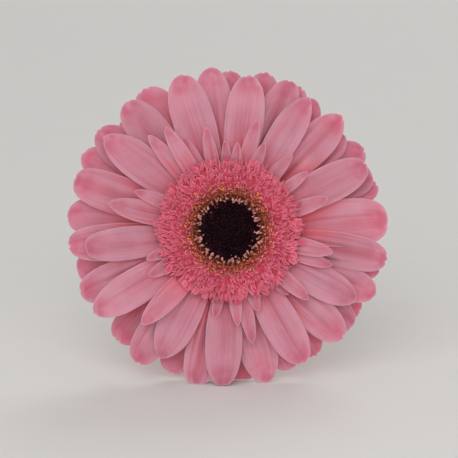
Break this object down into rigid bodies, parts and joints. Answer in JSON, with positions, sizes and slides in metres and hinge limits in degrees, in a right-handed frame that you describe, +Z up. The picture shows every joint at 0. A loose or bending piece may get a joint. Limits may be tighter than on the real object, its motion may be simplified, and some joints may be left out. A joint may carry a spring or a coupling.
{
  "type": "cut gerbera",
  "caption": "Double-flowered gerbera cut with a bare stem and laid on a table: layered ray petals round a disc of short florets.",
  "frame": {"origin": "on the table under the middle of the flower's box", "axes": "+Z up from the table; +Y runs from the bloom along the stem to its cut end, so the bloom faces -Y and a little upwards"},
  "size_m": [0.1103, 0.3513, 0.1067],
  "materials": {
    "petal": "satin",
    "back_petal": "satin",
    "inner_petal": "satin",
    "floret": "satin",
    "anther": "matte",
    "stigma": "matte",
    "bud": "matte",
    "bract": "matte",
    "stem": "satin"
  },
  "bodies": {
    "root": {"stem": "stem", "involucre": "bract", "ray_petals_back": "back_petal", "ray_petals_middle": "petal", "ray_petals_front": "petal", "inner_petals": "inner_petal", "disc_florets": "floret", "anthers": "anther", "stigmas": "stigma", "disc_buds": "bud"}
  },
  "joints": []
}
